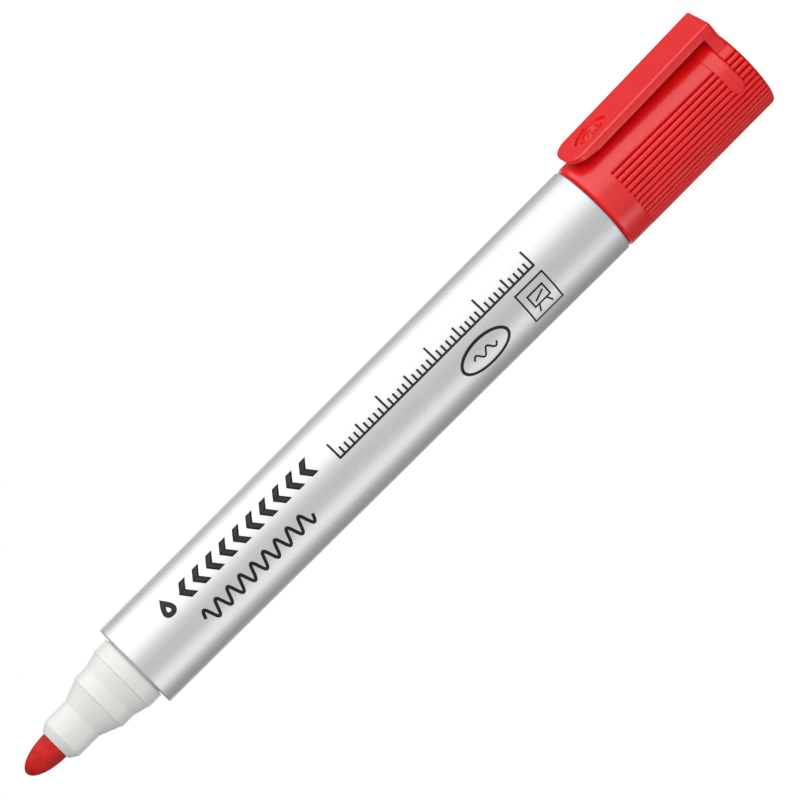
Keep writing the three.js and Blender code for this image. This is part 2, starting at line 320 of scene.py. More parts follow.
core_low, core_high = (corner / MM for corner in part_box("reservoir_core"))
nib_low, nib_high = (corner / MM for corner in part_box("nib"))
nib_radius = nib_high.x
socket_floor = nib_low.z - SOCKET_SPARE
core = turned("reservoir_fibre_rod", [
    (0, core_low.z, 0),
    (core_high.x, core_low.z, 0.25),
    (core_high.x, core_high.z, 0.25),
    (nib_radius + SOCKET_FIT, core_high.z, 0.1),
    (nib_radius + SOCKET_FIT, socket_floor, 0),
    (0, socket_floor, 0),
], CORE_STEPS)
core.data.materials.append(inked_fibre("soaked_polyester_fibre", "#7E1211", "#D2403A", 0.25, 0.8))
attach(core, "barrel")
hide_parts("reservoir_core")


# --- Reservoir wrap ----------------------------------------------------------------------
# A sleeve of clear polypropylene film, shrunk round the fibre rod, that holds it together and
# keeps the ink off the barrel. It is open at both ends.

FILM_GAP = 0.05


def ink_wet_film():
    """Clear film with pink ink behind it: glossy, thin, and clouded where it has wetted out."""
    material, tree = new_material("ink_wet_clear_film")
    place = node(tree, "ShaderNodeTexCoord")
    patches = node(tree, "ShaderNodeTexNoise", {
        "Vector": place.outputs["Object"], "Scale": 1 / (6 * MM), "Detail": 3.0})
    tone = node(tree, "ShaderNodeValToRGB", {"Fac": patches.outputs["Fac"]})
    tone.color_ramp.elements[0].position = 0.35
    tone.color_ramp.elements[0].color = linear("#E9A7A4")
    tone.color_ramp.elements[1].position = 0.65
    tone.color_ramp.elements[1].color = linear("#F6DEDC")
    surface = node(tree, "ShaderNodeBsdfPrincipled", {
        "Base Color": tone.outputs["Color"],
        "Roughness": 0.18,
        "IOR": 1.49,
        "Alpha": 0.6,
    })
    node(tree, "ShaderNodeOutputMaterial", {"Surface": surface.outputs["BSDF"]})
    return material


wrap_low, wrap_high = (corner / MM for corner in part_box("reservoir_wrap"))
film_inner = core_high.x + FILM_GAP
wrap = turned("reservoir_film_sleeve", [
    (film_inner, wrap_low.z, 0),
    (wrap_high.x, wrap_low.z, 0.05),
    (wrap_high.x, wrap_high.z, 0.05),
    (film_inner, wrap_high.z, 0),
], CORE_STEPS, closed=True)
wrap.data.materials.append(ink_wet_film())
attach(wrap, "barrel")
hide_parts("reservoir_wrap")


# --- Barrel ------------------------------------------------------------------------------
# A tapered tube moulded in polypropylene, with a narrow tail that the cap is posted on. The
# outside is sprayed with silver lacquer; the lacquer wraps over the square front edge.

BARREL_STEPS = 192
BARREL_FRONT_RADIUS = 7.34
BARREL_WAIST = 80.0
BARREL_WAIST_RADIUS = 7.58
SHOULDER_GAP = 0.1
SPIGOT_FIT = 0.06
CORE_SPARE = 0.4
TAIL_RADIUS = 5.75
TAIL_BORE = 4.85


def silver_lacquer():
    """Silver lacquer on plastic: a satin metallic grey, with fine flakes under a thin clear coat.
    The flakes are about 0.03 mm; they are drawn three times as coarse, so that they show."""
    material, tree = new_material("sprayed_silver_lacquer")
    place = node(tree, "ShaderNodeTexCoord")
    flakes = node(tree, "ShaderNodeTexVoronoi", {
        "Vector": place.outputs["Object"], "Scale": 1 / (0.1 * MM)})
    flow = node(tree, "ShaderNodeMapping", {
        "Vector": place.outputs["Object"], "Scale": (1.0, 1.0, 0.08)})
    streaks = node(tree, "ShaderNodeTexNoise", {
        "Vector": flow.outputs[0], "Scale": 1 / (1.1 * MM), "Detail": 3.0})
    glint = node(tree, "ShaderNodeMath", {
        0: flakes.outputs["Color"], 1: 0.6}, operation="MULTIPLY")
    mixed = node(tree, "ShaderNodeMath", {
        0: streaks.outputs["Fac"], 1: 0.4, 2: glint.outputs[0]}, operation="MULTIPLY_ADD")
    tone = node(tree, "ShaderNodeValToRGB", {"Fac": mixed.outputs[0]})
    tone.color_ramp.elements[0].color = linear("#D0D2D3")
    tone.color_ramp.elements[1].color = linear("#E4E5E6")
    satin = node(tree, "ShaderNodeMapRange", {
        "Value": streaks.outputs["Fac"], "To Min": 0.42, "To Max": 0.5})
    peel = node(tree, "ShaderNodeTexNoise", {
        "Vector": place.outputs["Object"], "Scale": 1 / (0.5 * MM), "Detail": 2.0})
    skin = node(tree, "ShaderNodeBump", {
        "Height": peel.outputs["Fac"], "Strength": 0.06, "Distance": 0.05 * MM})
    surface = node(tree, "ShaderNodeBsdfPrincipled", {
        "Base Color": tone.outputs["Color"],
        "Normal": skin.outputs["Normal"],
        "Roughness": satin.outputs["Result"],
        "Metallic": 0.6,
        "Coat Weight": 0.25,
        "Coat Roughness": 0.2,
    })
    node(tree, "ShaderNodeOutputMaterial", {"Surface": surface.outputs["BSDF"]})
    return material


barrel_low, barrel_high = (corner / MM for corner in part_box("barrel"))
_, cap_high = (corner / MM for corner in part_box("cap"))
nose_low, nose_high = (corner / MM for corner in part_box("nose"))
barrel_bore = nose_high.x + SPIGOT_FIT
bore_floor = core_low.z - CORE_SPARE
shoulder = cap_high.z + SHOULDER_GAP
barrel = turned("barrel_shell", [
    (TAIL_BORE, barrel_low.z, 0.2),
    (TAIL_RADIUS, barrel_low.z, 0.3),
    (TAIL_RADIUS, shoulder, 0.2),
    (barrel_high.x, shoulder, 0.25),
    (BARREL_WAIST_RADIUS, BARREL_WAIST, 0),
    (BARREL_FRONT_RADIUS, barrel_high.z, 0.25),
    (barrel_bore, barrel_high.z, 0.1),
    (barrel_bore, bore_floor, 0.4),
    (TAIL_BORE, bore_floor, 0.2),
], BARREL_STEPS, closed=True)
barrel.data.materials.append(silver_lacquer())
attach(barrel, "barrel")
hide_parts("barrel")


# --- Barrel print ------------------------------------------------------------------------
# Marks printed on the lacquer in black: a drop, a row of bold chevrons, a wavy sample line, a
# short measuring scale, an oval ring and a framed board. They are pad-printed, so the ink lies
# on the lacquer as a thin film with soft, slightly uneven blacks.

INK_FILM = 0.025
INK_LIFT = 0.012
INK_CELLS = 3

# Each mark's place is its distance back from the barrel's front edge and its angle from the line
# that faces the camera. The board's lines run through points given from the frame's middle.
DROP = {"back": 9.2, "angle": 22.5, "tall": 3.4, "wide": 2.5, "bulge": 1.3, "taper": 1.5}
DROP_HOLE = {"share": 0.3, "down": 0.18}
CHEVRON_ROW = {"back": 11.8, "angle": 21.4, "length": 27.5, "count": 10}
CHEVRON = {"tall": 3.1, "slant": 1.15, "stroke": 1.25}
WAVE_ROW = {"back": 12.1, "angle": -19.6, "length": 21.8, "waves": 9, "tall": 2.4, "stroke": 0.5}
SCALE_ROW = {"back": 42.5, "angle": 12.5, "length": 40, "base": -1.3, "overhang": 0.12, "stroke": 0.34}
SCALE_TICKS = {1: 1.3, 5: 2.0, 10: 2.9}  # height of every, every fifth and every tenth tick
OVAL = {"back": 68.7, "angle": -28.0, "half_long": 4.75, "half_tall": 2.5, "stroke": 0.48}
RIPPLE = {"half_long": 2.2, "wave": 2.2, "half_tall": 0.55, "stroke": 0.3}
BOARD = {"back": 80.0, "angle": -28.0, "stroke": 0.27}
BOARD_LINES = {
    "frame": ((-2.75, -2.75), (2.75, -2.75), (2.75, 2.75), (-2.75, 2.75), (-2.75, -2.75)),
    "panel": ((-1.5, -0.7), (1.5, -0.7), (1.5, 1.4), (-1.5, 1.4), (-1.5, -0.7)),
    "left_leg": ((-0.7, -0.7), (-1.2, -1.8)),
    "right_leg": ((0.7, -0.7), (1.2, -1.8)),
    "drawn_line": ((-0.8, 0.0), (0.9, 0.7)),
}


def barrel_radius(z):
    """The barrel's outside radius at a height."""
    if z < BARREL_WAIST:
        share = (z - shoulder) / (BARREL_WAIST - shoulder)
        return barrel_high.x + (BARREL_WAIST_RADIUS - barrel_high.x) * share
    share = (z - BARREL_WAIST) / (barrel_high.z - BARREL_WAIST)
    return BARREL_WAIST_RADIUS + (BARREL_FRONT_RADIUS - BARREL_WAIST_RADIUS) * share


def on_barrel(place, along, up, lift):
    """A point on the print, lifted off the lacquer: along runs to the cap and up to the clip."""
    z = barrel_high.z - place["back"] - along
    r = barrel_radius(z)
    turn_by = VIEW_SIDE - place["angle"] - math.degrees(up / r)
    return around(turn_by, r + lift, z) / MM


def film_of_ink(points, faces, grid, place):
    """Adds a grid of (along, up) rows to the print as a thin closed film."""
    rows, columns = len(grid), len(grid[0])
    base = len(points)
    for lift in (INK_LIFT, INK_LIFT + INK_FILM):
        for row in grid:
            points += [on_barrel(place, a, u, lift) for a, u in row]
    top = base + rows * columns

    def at(level, i, j):
        return level + i * columns + j

    for i in range(rows - 1):
        for j in range(columns - 1):
            quad = [(i, j), (i + 1, j), (i + 1, j + 1), (i, j + 1)]
            faces.append([at(top, *c) for c in quad])
            faces.append([at(base, *c) for c in quad[::-1]])
    rim = [(i, 0) for i in range(rows)] + [(rows - 1, j) for j in range(1, columns)]
    rim += [(i, columns - 1) for i in range(rows - 2, -1, -1)] + [(0, j) for j in range(columns - 2, 0, -1)]
    for a, b in zip(rim, rim[1:] + rim[:1]):
        faces.append([at(base, *a), at(base, *b), at(top, *b), at(top, *a)])


def stroke(line, width):
    """A grid of points for a pen stroke of even width along a line of (along, up) points."""
    grid = []
    for i, (a, u) in enumerate(line):
        before = Vector(line[max(i - 1, 0)])
        after = Vector(line[min(i + 1, len(line) - 1)])
        way = (after - before).normalized()
        side = Vector((-way.y, way.x)) * width
        shares = [k / INK_CELLS - 0.5 for k in range(INK_CELLS + 1)]
        grid.append([(a + side.x * share, u + side.y * share) for share in shares])
    return grid


def straight(first, last, step=0.4):
    """Points along a straight line, close enough together to follow the barrel."""
    first, last = Vector(first), Vector(last)
    steps = max(1, math.ceil((last - first).length / step))
    return [tuple(first.lerp(last, k / steps)) for k in range(steps + 1)]


def chevrons(points, faces, rows=8):
    """The row of bold chevrons, each in two halves that meet at its point."""
    pitch = CHEVRON_ROW["length"] / CHEVRON_ROW["count"]
    half = CHEVRON["tall"] / 2
    for k in range(CHEVRON_ROW["count"]):
        for side in (1, -1):
            grid = []
            for t in (i / rows for i in range(rows + 1)):
                left = pitch * k + CHEVRON["slant"] * t
                cells = [(left + CHEVRON["stroke"] * c / INK_CELLS, side * half * t)
                         for c in range(INK_CELLS + 1)]
                grid.append(cells if side < 0 else cells[::-1])
            film_of_ink(points, faces, grid, CHEVRON_ROW)


def wavy_line(points, faces, steps_a_wave=24):
    """The sample line, as a marker would draw it."""
    wave_length = WAVE_ROW["length"] / WAVE_ROW["waves"]
    line = [(a, WAVE_ROW["tall"] / 2 * math.sin(2 * math.pi * a / wave_length))
            for a in np.linspace(0, WAVE_ROW["length"], WAVE_ROW["waves"] * steps_a_wave + 1)]
    film_of_ink(points, faces, stroke(line, WAVE_ROW["stroke"]), WAVE_ROW)


def measuring_scale(points, faces):
    """A tick at each millimetre, taller at every fifth and tenth, on one long base line."""
    base = SCALE_ROW["base"]
    for k in range(SCALE_ROW["length"] + 1):
        tall = max(height for every, height in SCALE_TICKS.items() if k % every == 0)
        tick = straight((k, base), (k, base + tall))
        film_of_ink(points, faces, stroke(tick, SCALE_ROW["stroke"]), SCALE_ROW)
    line = straight((-SCALE_ROW["overhang"], base), (SCALE_ROW["length"] + SCALE_ROW["overhang"], base))
    film_of_ink(points, faces, stroke(line, SCALE_ROW["stroke"]), SCALE_ROW)


def oval_line(inset, steps=72):
    """Points round the oval, drawn in by an inset from its outer edge."""
    turns = [2 * math.pi * k / steps for k in range(steps + 1)]
    half_long, half_tall = OVAL["half_long"] - inset, OVAL["half_tall"] - inset
    return [(half_long * math.cos(t), half_tall * math.sin(t)) for t in turns]


def oval_badge(points, faces):
    """An oval ring with a short ripple in it."""
    ring = [oval_line(OVAL["stroke"] * c / INK_CELLS) for c in range(INK_CELLS + 1)]
    film_of_ink(points, faces, [list(row) for row in zip(*ring)], OVAL)
    ripple = [(a, RIPPLE["half_tall"] * math.sin(2 * math.pi * a / RIPPLE["wave"]))
              for a in np.linspace(-RIPPLE["half_long"], RIPPLE["half_long"], 41)]
    film_of_ink(points, faces, stroke(ripple, RIPPLE["stroke"]), OVAL)


def framed_board(points, faces):
    """A square frame with a board on two legs in it, and one line drawn on the board."""
    for path in BOARD_LINES.values():
        for a, b in zip(path, path[1:]):
            way = (Vector(b) - Vector(a)).normalized() * BOARD["stroke"] / 2
            line = straight(Vector(a) - way, Vector(b) + way)
            film_of_ink(points, faces, stroke(line, BOARD["stroke"]), BOARD)


def ink_drop(points, faces, spokes=40, rings=6):
    """A drop with a small hollow low in it, its tip towards the clip."""
    centre = Vector((0.0, -DROP["tall"] * DROP_HOLE["down"]))
    shares = [DROP_HOLE["share"] + (1 - DROP_HOLE["share"]) * c / rings for c in range(rings, -1, -1)]
    grid = []
    for k in range(spokes + 1):
        t = 2 * math.pi * k / spokes
        wide = DROP["wide"] / 2 * DROP["bulge"] * math.sin(t) * math.sin(t / 2) ** DROP["taper"]
        edge = Vector((wide, DROP["tall"] / 2 * math.cos(t)))
        grid.append([tuple(centre.lerp(edge, share)) for share in shares])
    film_of_ink(points, faces, grid, DROP)


def printing_ink():
    """Black pad-printing ink: nearly black, a little thin in places, and duller than the lacquer."""
    material, tree = new_material("black_pad_printing_ink")
    place = node(tree, "ShaderNodeTexCoord")
    thin = node(tree, "ShaderNodeTexNoise", {
        "Vector": place.outputs["Object"], "Scale": 1 / (0.35 * MM), "Detail": 3.0})
    tone = node(tree, "ShaderNodeValToRGB", {"Fac": thin.outputs["Fac"]})
    tone.color_ramp.elements[0].position = 0.3
    tone.color_ramp.elements[0].color = linear("#0B0B0C")
    tone.color_ramp.elements[1].position = 0.75
    tone.color_ramp.elements[1].color = linear("#1C1D1F")
    surface = node(tree, "ShaderNodeBsdfPrincipled", {
        "Base Color": tone.outputs["Color"],
        "Roughness": 0.5,
        "IOR": 1.5,
        "Specular IOR Level": 0.35,
    })
    node(tree, "ShaderNodeOutputMaterial", {"Surface": surface.outputs["BSDF"]})
    return material


print_points, print_faces = [], []
for mark in (chevrons, wavy_line, measuring_scale, oval_badge, framed_board, ink_drop):
    mark(print_points, print_faces)
barrel_print = mesh_object("barrel_print", print_points, print_faces)
barrel_print.data.materials.append(printing_ink())
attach(barrel_print, "barrel")


# --- End plug ----------------------------------------------------------------------------
# A small red moulding pressed into the barrel's tail. It closes the barrel behind the
# reservoir and is hidden while the cap is posted.

PLUG_STEPS = 96
PLUG_DIMPLE = {"r": 2.6, "edge_r": 3.2, "deep": 0.15}
PLUG_SKIRT_BORE = 3.4
PLUG_FLOOR = 1.2
PLUG_FIT = 0.05
PLUG_LEAD = {"in": 0.45, "down": 0.5}
FLANGE_GAP = 0.3


def moulded_red(name, light, dark, roughness):
    """Gloss red polypropylene straight from a polished mould: even deep colour that light enters a
    little, a faint flow mottle, and an almost smooth skin."""
    material, tree = new_material(name)
    place = node(tree, "ShaderNodeTexCoord")
    mottle = node(tree, "ShaderNodeTexNoise", {
        "Vector": place.outputs["Object"], "Scale": 1 / (5 * MM), "Detail": 4.0, "Roughness": 0.6})
    tone = node(tree, "ShaderNodeValToRGB", {"Fac": mottle.outputs["Fac"]})
    tone.color_ramp.elements[0].position = 0.3
    tone.color_ramp.elements[0].color = linear(dark)
    tone.color_ramp.elements[1].position = 0.7
    tone.color_ramp.elements[1].color = linear(light)
    grain = node(tree, "ShaderNodeTexNoise", {
        "Vector": place.outputs["Object"], "Scale": 1 / (0.22 * MM), "Detail": 3.0})
    skin = node(tree, "ShaderNodeBump", {
        "Height": grain.outputs["Fac"], "Strength": 0.08, "Distance": 0.04 * MM})
    dulling = node(tree, "ShaderNodeMapRange", {
        "Value": grain.outputs["Fac"], "To Min": roughness - 0.04, "To Max": roughness + 0.05})
    surface = node(tree, "ShaderNodeBsdfPrincipled", {
        "Base Color": tone.outputs["Color"],
        "Normal": skin.outputs["Normal"],
        "Roughness": dulling.outputs["Result"],
        "IOR": 1.49,
        "Specular IOR Level": 0.65,
        "Subsurface Weight": 0.12,
        "Subsurface Radius": (1.0, 0.18, 0.12),
        "Subsurface Scale": 0.6 * MM,
    })
    node(tree, "ShaderNodeOutputMaterial", {"Surface": surface.outputs["BSDF"]})
    return material


plug_low, plug_high = (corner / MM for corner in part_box("end_plug"))
plug_flange_top = barrel_low.z - FLANGE_GAP
plug = turned("end_plug_moulding", [
    (0, plug_low.z + PLUG_DIMPLE["deep"], 0),
    (PLUG_DIMPLE["r"], plug_low.z + PLUG_DIMPLE["deep"], 0.3),
    (PLUG_DIMPLE["edge_r"], plug_low.z, 0.3),
    (plug_high.x, plug_low.z, 0.18),
    (plug_high.x, plug_flange_top, 0.1),
    (TAIL_BORE - PLUG_FIT, plug_flange_top, 0.1),
    (TAIL_BORE - PLUG_FIT, plug_high.z - PLUG_LEAD["down"], 0.3),
    (TAIL_BORE - PLUG_LEAD["in"], plug_high.z, 0.2),
    (PLUG_SKIRT_BORE, plug_high.z, 0.2),
    (PLUG_SKIRT_BORE, plug_low.z + PLUG_FLOOR, 0.3),
    (0, plug_low.z + PLUG_FLOOR, 0),
], PLUG_STEPS)
plug.data.materials.append(moulded_red("moulded_red_plug", "#DC2225", "#D21C1F", 0.33))
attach(plug, "barrel")
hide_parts("end_plug")


# --- Nose --------------------------------------------------------------------------------
# The white stepped front end, moulded in gloss polypropylene and pressed into the barrel as
# far as its collar. Its steps seat and seal the cap when that is on the writing end.

NOSE_STEPS = 128
RIM_RADIUS = 2.75
STEP_1 = {"r": 3.6, "front": 1.4, "rear": 5.5}
STEP_2 = {"r": 5.05, "front": 8.7, "rear": 11.15, "lip": 0.17}
COLLAR = {"r": 5.79, "front": 13.5, "rear": 16.1, "lip": 0.13}
SEAM_RADIUS = 5.3
NOSE_WALL = 1.2


def moulded_white():
    """Gloss white polypropylene: clean white, slightly see-through at thin edges, with the faint
    waviness of a moulded skin."""
    material, tree = new_material("moulded_gloss_white")
    place = node(tree, "ShaderNodeTexCoord")
    mottle = node(tree, "ShaderNodeTexNoise", {
        "Vector": place.outputs["Object"], "Scale": 1 / (4 * MM), "Detail": 3.0})
    tone = node(tree, "ShaderNodeValToRGB", {"Fac": mottle.outputs["Fac"]})
    tone.color_ramp.elements[0].color = linear("#E5E5E2")
    tone.color_ramp.elements[1].color = linear("#EEEEEB")
    waviness = node(tree, "ShaderNodeTexNoise", {
        "Vector": place.outputs["Object"], "Scale": 1 / (1.2 * MM), "Detail": 1.0})
    skin = node(tree, "ShaderNodeBump", {
        "Height": waviness.outputs["Fac"], "Strength": 0.05, "Distance": 0.1 * MM})
    surface = node(tree, "ShaderNodeBsdfPrincipled", {
        "Base Color": tone.outputs["Color"],
        "Normal": skin.outputs["Normal"],
        "Roughness": 0.24,
        "IOR": 1.49,
        "Specular IOR Level": 0.25,
        "Subsurface Weight": 0.1,
        "Subsurface Radius": (1.0, 0.95, 0.85),
        "Subsurface Scale": 0.4 * MM,
    })
    node(tree, "ShaderNodeOutputMaterial", {"Surface": surface.outputs["BSDF"]})
    return material


spigot = nose_high.x
cavity = spigot - NOSE_WALL
nib_bore = nib_radius + SOCKET_FIT
front = nose_high.z
cavity_front = front - COLLAR["rear"] - NOSE_WALL
nose = turned("nose_cone", [
    (cavity, nose_low.z, 0.15),
    (spigot, nose_low.z, 0.3),
    (spigot, barrel_high.z, 0.05),
    (SEAM_RADIUS, barrel_high.z, 0.05),
    (SEAM_RADIUS, front - COLLAR["rear"], 0.05),
    (COLLAR["r"], front - COLLAR["rear"], 0.12),
    (COLLAR["r"], front - COLLAR["front"], 0.14),
    (COLLAR["r"] - COLLAR["lip"], front - COLLAR["front"], 0.05),
    (STEP_2["r"], front - STEP_2["rear"], 0.1),
    (STEP_2["r"], front - STEP_2["front"], 0.14),
    (STEP_2["r"] - STEP_2["lip"], front - STEP_2["front"], 0.05),
    (STEP_1["r"], front - STEP_1["rear"], 0.15),
    (STEP_1["r"], front - STEP_1["front"], 0.3),
    (RIM_RADIUS, front, 0.12),
    (nib_bore, front, 0.04),
    (nib_bore, cavity_front, 0.1),
    (cavity, cavity_front, 0.4),
], NOSE_STEPS, closed=True)
nose.data.materials.append(moulded_white())
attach(nose, "barrel")
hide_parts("nose")


# --- Nib ---------------------------------------------------------------------------------
# A rod of bonded acrylic fibre ground to a bullet point and dyed through by the red ink. Its
# rear end runs back through the nose into the reservoir.

NIB_STEPS = 96


def nib_outline():
    """From the rear end forward along the shank, then the ground bullet point as one curve."""
    head = nib_high.z - nose_high.z
    outline = [(0, nib_low.z, 0), (nib_radius, nib_low.z, 0.3)]
    for k in range(24):
        t = math.radians(90 * k / 24)
        outline.append((nib_radius * math.cos(t), nose_high.z + head * math.sin(t), 0))
    outline.append((0, nib_high.z, 0))
    return outline


nib = turned("bullet_nib", nib_outline(), NIB_STEPS)
nib.data.materials.append(inked_fibre("ground_acrylic_fibre", "#AE0C08", "#EE2118", 0.16, 0.65))
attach(nib, "barrel")
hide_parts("nib")


# --- Inner cap ---------------------------------------------------------------------------
# A pale polyethylene sleeve standing on six fins in the bottom of the cap. Its mouth seals on
# the front step of the nose, so that the nib doesn't dry out.

SEAL_STEPS = 96
SEAL_FLOOR = 1.0
SLEEVE_OUTER = 4.45
SLEEVE_BORE = 3.68
SEAL_FINS = 6
FIN = {"thick": 0.8, "top": 12.0, "slope_in": 0.6, "slope_down": 2.0, "sunk": 0.2, "short": 0.1}


def natural_polyethylene():
    """Undyed polyethylene: milky, waxy and a little see-through, with a soft sheen."""
    material, tree = new_material("natural_polyethylene")
    place = node(tree, "ShaderNodeTexCoord")
    cloud = node(tree, "ShaderNodeTexNoise", {
        "Vector": place.outputs["Object"], "Scale": 1 / (2.5 * MM), "Detail": 3.0})
    tone = node(tree, "ShaderNodeValToRGB", {"Fac": cloud.outputs["Fac"]})
    tone.color_ramp.elements[0].color = linear("#DEDCD3")
    tone.color_ramp.elements[1].color = linear("#ECEAE3")
    skin = node(tree, "ShaderNodeBump", {
        "Height": cloud.outputs["Fac"], "Strength": 0.1, "Distance": 0.1 * MM})
    surface = node(tree, "ShaderNodeBsdfPrincipled", {
        "Base Color": tone.outputs["Color"],
        "Normal": skin.outputs["Normal"],
        "Roughness": 0.42,
        "IOR": 1.51,
        "Subsurface Weight": 0.3,
        "Subsurface Radius": (1.0, 0.95, 0.85),
        "Subsurface Scale": 0.8 * MM,
    })
    node(tree, "ShaderNodeOutputMaterial", {"Surface": surface.outputs["BSDF"]})
    return material


def fin(points, faces, angle, inner, outer, low):
    """Adds an upright fin that stands out from the sleeve, sloped away at its top outer corner."""
    base = len(points)
    out, across = around(angle, 1 / MM), around(angle + 90, 1 / MM)
    high = FIN["top"]
    side = [(inner, low), (outer, low), (outer, high - FIN["slope_down"]),
            (outer - FIN["slope_in"], high), (inner, high)]
    for offset in (-FIN["thick"] / 2, FIN["thick"] / 2):
        points += [out * r + across * offset + Vector((0, 0, z)) for r, z in side]
    count = len(side)
    faces.append([base + k for k in range(count)][::-1])
    faces.append([base + count + k for k in range(count)])
    for k in range(count):
        n = (k + 1) % count
        faces.append([base + k, base + n, base + count + n, base + count + k])


def sharpened(made, angle):
    """Marks as sharp the edges that turn by more than an angle, so that they shade crisply."""
    made.data.set_sharp_from_angle(angle=math.radians(angle))
    return made


def joined(name, pieces):
    """One object from several, in the place of the first."""
    with bpy.context.temp_override(active_object=pieces[0], selected_editable_objects=pieces):
        bpy.ops.object.join()
    pieces[0].name = name
    return pieces[0]


seal_low, seal_high = (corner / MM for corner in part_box("inner_cap"))
seal_floor = seal_low.z + SEAL_FLOOR
sleeve = turned("inner_cap_sleeve", [
    (0, seal_low.z, 0),
    (seal_high.x, seal_low.z, 0.15),
    (seal_high.x, seal_floor, 0.15),
    (SLEEVE_OUTER, seal_floor, 0.3),
    (SLEEVE_OUTER, seal_high.z, 0.25),
    (SLEEVE_BORE + 0.2, seal_high.z, 0.15),
    (SLEEVE_BORE, seal_high.z - 0.7, 0.3),
    (SLEEVE_BORE, seal_floor, 0.5),
    (0, seal_floor, 0),
], SEAL_STEPS)
fin_points, fin_faces = [], []
for k in range(SEAL_FINS):
    fin(fin_points, fin_faces, k * 360 / SEAL_FINS, SLEEVE_OUTER - FIN["sunk"],
        seal_high.x - FIN["short"], seal_floor - FIN["sunk"])
fins = sharpened(mesh_object("inner_cap_fins", fin_points, fin_faces), 30)
inner_cap = joined("inner_cap_seal", [sleeve, fins])
inner_cap.data.materials.append(natural_polyethylene())
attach(inner_cap, "cap")
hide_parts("inner_cap")


# --- Cap with clip -----------------------------------------------------------------------
# One red polypropylene moulding: a tapered cup with finger grooves cut lengthways into its wall,
# a smooth raised band beside the clip's root, and a springy pocket clip with an oval thumb
# recess. The clip is fused onto the cup as one piece.

GROOVE_PITCH = 7.2
FIRST_GROOVE = 46.8
GROOVES_A_SIDE = 19
GROOVE_DEPTH = 0.45
GROOVE_HALF = (0.05, 0.19)  # half the width at the groove's floor and at its top
RIDGE_CROWN = 0.22
GROOVE_TOP = (25.95, 26.35)  # the heights between which the grooves run out
STEPS_A_PITCH = 18
END_ROUND = 0.5
LIP_ROUND = 0.75
MOUTH_ROUND = 0.3
FLOOR_ROUND = 0.5
BAND = {"low": 2.6, "high": 5.0, "end_angle": 84.8, "proud": 0.15, "soft": 0.07}
CAP_END_RADIUS = 7.56
CAP_BORE = 6.35
END_WALL = 1.2
GRIP_RIBS = 6
GRIP_RIB_HALF = 0.5
GRIP_RIB_SOFT = 0.15
GRIP_RIB_FIT = 0.1


def ease(low, high, value):
    """0 below low, 1 above high, and a smooth rise between."""
    t = np.clip((value - low) / (high - low), 0, 1)
    return t * t * (3 - 2 * t)


def wall_radius(z):
    """The smooth wall's outside radius at a height: the cap widens a little to its mouth."""
    return CAP_END_RADIUS + (cap_high.x - CAP_END_RADIUS) * np.clip(z / cap_high.z, 0, 1)


def groove_depth(angles, z):
    """How deep the finger grooves are at these angles from the clip, at a height."""
    nearest = np.clip(np.round((np.abs(angles) - FIRST_GROOVE) / GROOVE_PITCH), 0, GROOVES_A_SIDE - 1)
    off = np.abs(np.abs(angles) - FIRST_GROOVE - nearest * GROOVE_PITCH)
    across = np.radians(off) * wall_radius(z)
    share = np.clip(across / (np.radians(GROOVE_PITCH / 2) * wall_radius(z)), 0, 1)
    depth = GROOVE_DEPTH * (1 - ease(*GROOVE_HALF, across)) + RIDGE_CROWN * (1 - share) ** 2
    return depth * (1 - ease(*GROOVE_TOP, z))


def on_band(angles, z):
    """1 on the smooth band, 0 off it. The band's two ends are half round."""
    half = (BAND["high"] - BAND["low"]) / 2
    along = np.radians(np.abs(angles)) * CAP_END_RADIUS
    end = math.radians(BAND["end_angle"]) * CAP_END_RADIUS - half
    outside = np.hypot(np.maximum(along - end, 0), z - (BAND["low"] + BAND["high"]) / 2) - half
    return 1 - ease(-BAND["soft"], BAND["soft"], outside)


def outer_row(r, z, angles):
    """Radii round the cap for a point of its smooth outline, with grooves and band."""
    band = on_band(angles, z)
    wall = wall_radius(z) - groove_depth(angles, z) * (1 - band) + BAND["proud"] * band
    return np.where(r < wall_radius(z) - 1e-6, np.minimum(r, wall), wall)


def bore_row(z, angles):
    """Radii round the bore, with the grip ribs that hold the barrel's tail."""
    pitch = 360 / GRIP_RIBS
    off = np.abs((angles % pitch) - pitch / 2)
    across = np.radians(off) * CAP_BORE
    rib = 1 - ease(GRIP_RIB_HALF - GRIP_RIB_SOFT, GRIP_RIB_HALF + GRIP_RIB_SOFT, across)
    span = ease(barrel_low.z - 0.5, barrel_low.z + 1.0, z) * (1 - ease(cap_high.z - 1.6, cap_high.z - 0.7, z))
    return CAP_BORE - (CAP_BORE - TAIL_RADIUS - GRIP_RIB_FIT) * rib * span


def quarter(centre_r, centre_z, radius, start, end, steps):
    """Points on an arc, with angles in degrees from straight out."""
    turns = [math.radians(start + (end - start) * k / steps) for k in range(steps + 1)]
    return [(centre_r + radius * math.cos(t), centre_z + radius * math.sin(t)) for t in turns]


